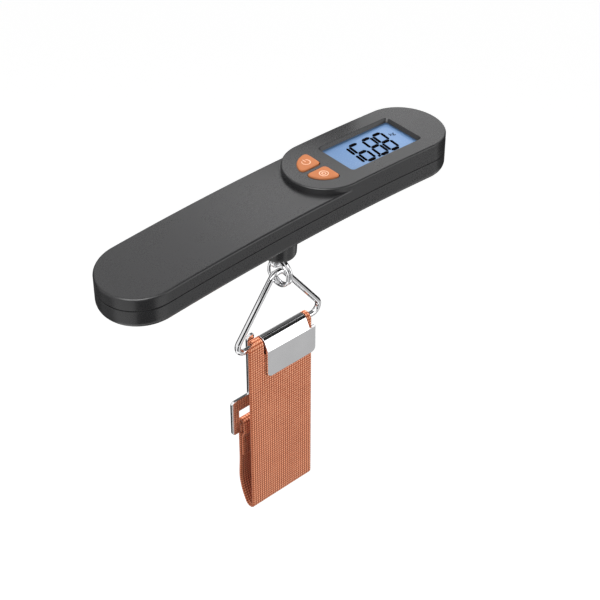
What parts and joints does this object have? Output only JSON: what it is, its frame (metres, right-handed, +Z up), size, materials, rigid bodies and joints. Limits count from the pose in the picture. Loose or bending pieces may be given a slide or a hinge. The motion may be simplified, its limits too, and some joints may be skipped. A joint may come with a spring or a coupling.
{
  "type": "digital luggage scale",
  "caption": "Arched grey digital luggage scale with a raised blue display, orange keys and an orange webbing strap hung from a wire link by a steel hook clasp.",
  "frame": {"origin": "middle of the body on its parting line, above the pull neck, where the hand lifts", "axes": "+X along the body towards the display, -Y towards the person who reads it, +Z up; the strap hangs along -Z"},
  "size_m": [0.15, 0.031, 0.1462],
  "materials": {
    "shell_plastic": "satin moulded ABS",
    "button_orange": "satin",
    "lcd_glass": "gloss, opaque from the back",
    "light_guide": "frosted acrylic",
    "zebra_rubber": "matte",
    "board_green": "solder mask on glass-fibre board",
    "chip_black": "matte",
    "switch_black": "matte",
    "beam_aluminium": "milled",
    "gauge_foil": "polyimide film",
    "plated_steel": "bright nickel plate",
    "zinc_screw": "zinc plate",
    "cell_steel": "bright",
    "contact_metal": "nickel-washed spring brass",
    "orange_webbing": "plain-weave webbing"
  },
  "bodies": {
    "housing": {"upper_cover": "shell_plastic", "lower_cover": "shell_plastic", "power_switch": "switch_black", "tare_switch": "switch_black", "lcd_panel": "lcd_glass", "backlight_panel": "light_guide", "zebra_connector": "zebra_rubber", "circuit_board": "board_green", "controller_chip": "chip_black", "load_cell": "beam_aluminium", "strain_gauge_top": "gauge_foil", "strain_gauge_bottom": "gauge_foil", "load_cell_screw_1": "zinc_screw", "load_cell_screw_2": "zinc_screw", "pull_eye": "plated_steel", "pull_eye_nut": "zinc_screw", "coin_cell": "cell_steel", "contact_positive": "contact_metal", "contact_negative": "contact_metal", "case_screw_1": "zinc_screw", "case_screw_2": "zinc_screw", "case_screw_3": "zinc_screw", "case_screw_4": "zinc_screw"},
    "power_key": {"power_button": "button_orange"},
    "tare_key": {"tare_button": "button_orange"},
    "battery_cover": {"battery_door": "shell_plastic"},
    "ring": {"split_ring": "plated_steel"},
    "link": {"triangle_link": "plated_steel"},
    "strap_set": {"clasp": "plated_steel", "strap": "orange_webbing"}
  },
  "joints": [
    {"name": "power_press", "type": "slide", "parent": "housing", "child": "power_key", "axis": [-0.018, 0, -0.9998], "range_m": [0, 0.0005], "stiffness_N_per_m": 4000},
    {"name": "tare_press", "type": "slide", "parent": "housing", "child": "tare_key", "axis": [-0.018, 0, -0.9998], "range_m": [0, 0.0005], "stiffness_N_per_m": 4000},
    {"name": "battery_cover_turn", "type": "hinge", "parent": "housing", "child": "battery_cover", "pos_m": [-0.05235, 0, -0.00146], "axis": [-0.0561, 0, 0.9984], "range_deg": [0, 50]},
    {"name": "ring_swing", "type": "hinge", "parent": "housing", "child": "ring", "pos_m": [0, 0, -0.026], "axis": [1, 0, 0], "range_deg": [-40, 40]},
    {"name": "link_swing", "type": "hinge", "parent": "ring", "child": "link", "pos_m": [0.001, 0.002, -0.0354], "axis": [0, 1, 0], "range_deg": [-20, 20]},
    {"name": "clasp_swing", "type": "hinge", "parent": "link", "child": "strap_set", "pos_m": [0, 0.002, -0.05929], "axis": [1, 0, 0], "range_deg": [-75, 75]}
  ]
}
